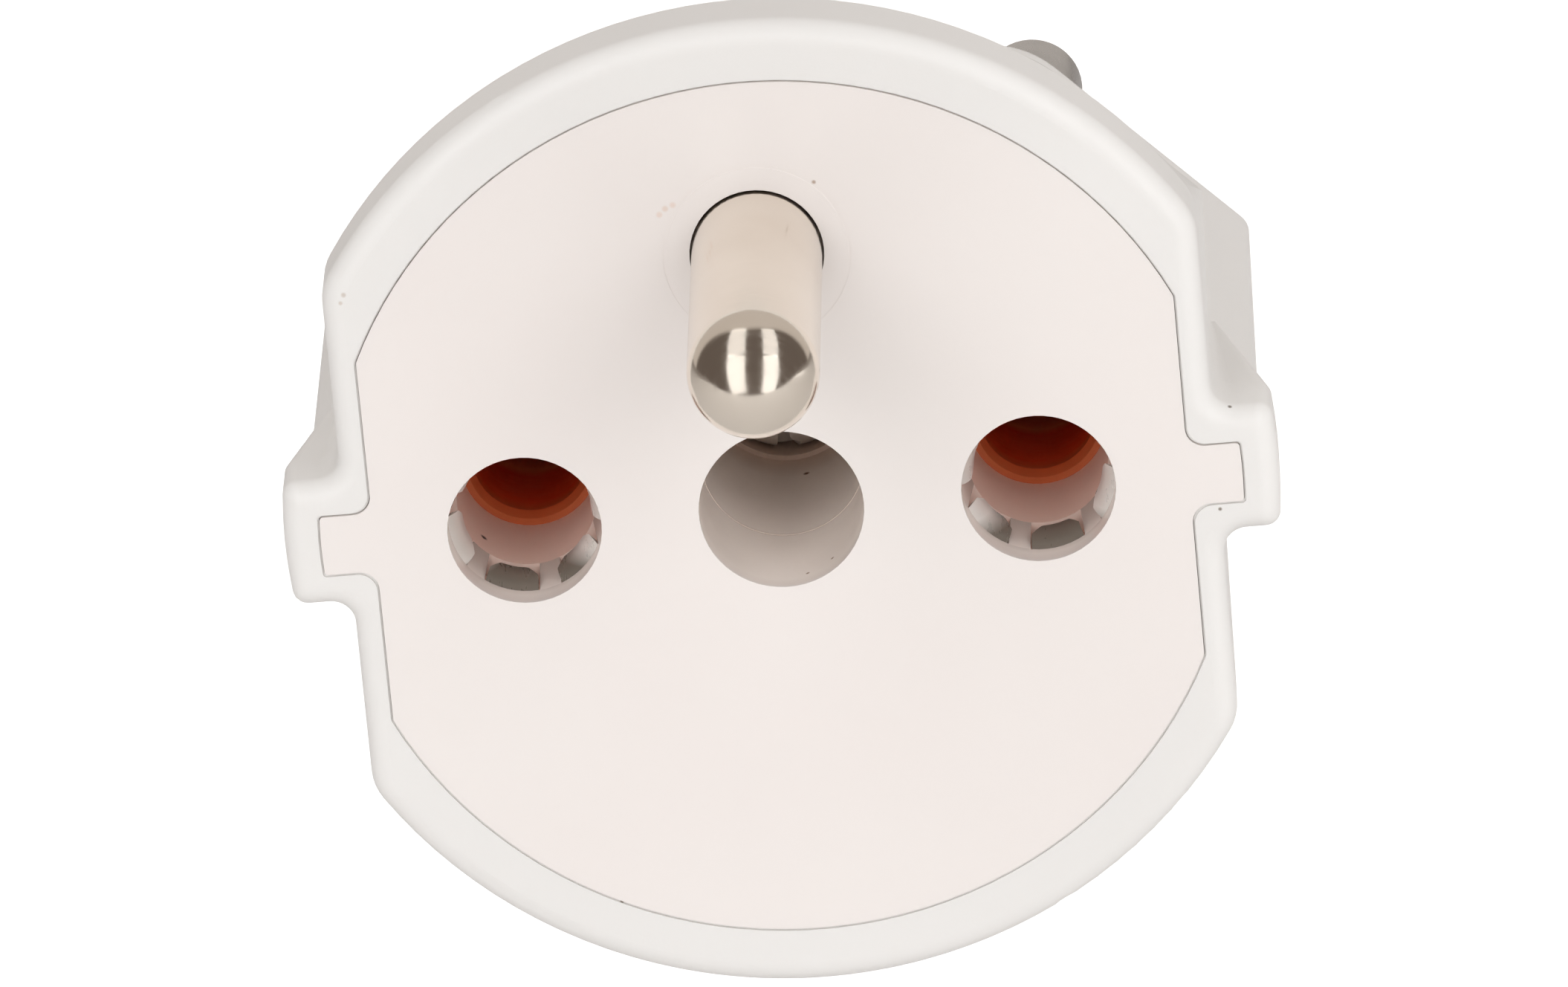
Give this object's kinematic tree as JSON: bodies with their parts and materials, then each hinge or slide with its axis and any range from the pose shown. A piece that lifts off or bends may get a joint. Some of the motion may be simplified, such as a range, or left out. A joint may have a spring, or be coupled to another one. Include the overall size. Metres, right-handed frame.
{
  "type": "plug adapter",
  "caption": "Round white mains plug adapter: a socket face with a standing earth pin in front, tapering to a hexagonal plug end with round pins behind.",
  "frame": {"origin": "centre of the plug shoulder, the flat back face that meets the wall socket", "axes": "+Y from the socket face back along the plug pins, +Z towards the earth pin of the face, +X to the right as the face is looked at"},
  "size_m": [0.0368, 0.062, 0.0378],
  "materials": {
    "shell_plastic": "satin white moulding",
    "insert_plastic": "glossy warm white moulding",
    "carrier_plastic": "warm white moulding",
    "plated_brass": "nickel plated and polished",
    "bare_brass": "plain strip",
    "screw_steel": "zinc plated",
    "ring_steel": "bright spring strip",
    "spring_steel": "spring strip",
    "contact_copper": "copper alloy, warm red"
  },
  "bodies": {
    "root": {"outer_shell": "shell_plastic", "face_insert": "insert_plastic", "contact_carrier": "carrier_plastic", "socket_earth_pin": "plated_brass", "earth_pin_washer": "spring_steel", "earth_strap": "bare_brass", "plug_earth_pin": "plated_brass", "assembly_screw": "screw_steel", "retaining_ring_left": "ring_steel", "retaining_ring_right": "ring_steel", "contact_sleeve_left": "contact_copper", "contact_sleeve_right": "contact_copper", "contact_spring_left": "spring_steel", "contact_spring_right": "spring_steel", "line_pin_left": "plated_brass", "line_pin_right": "plated_brass"}
  },
  "joints": []
}
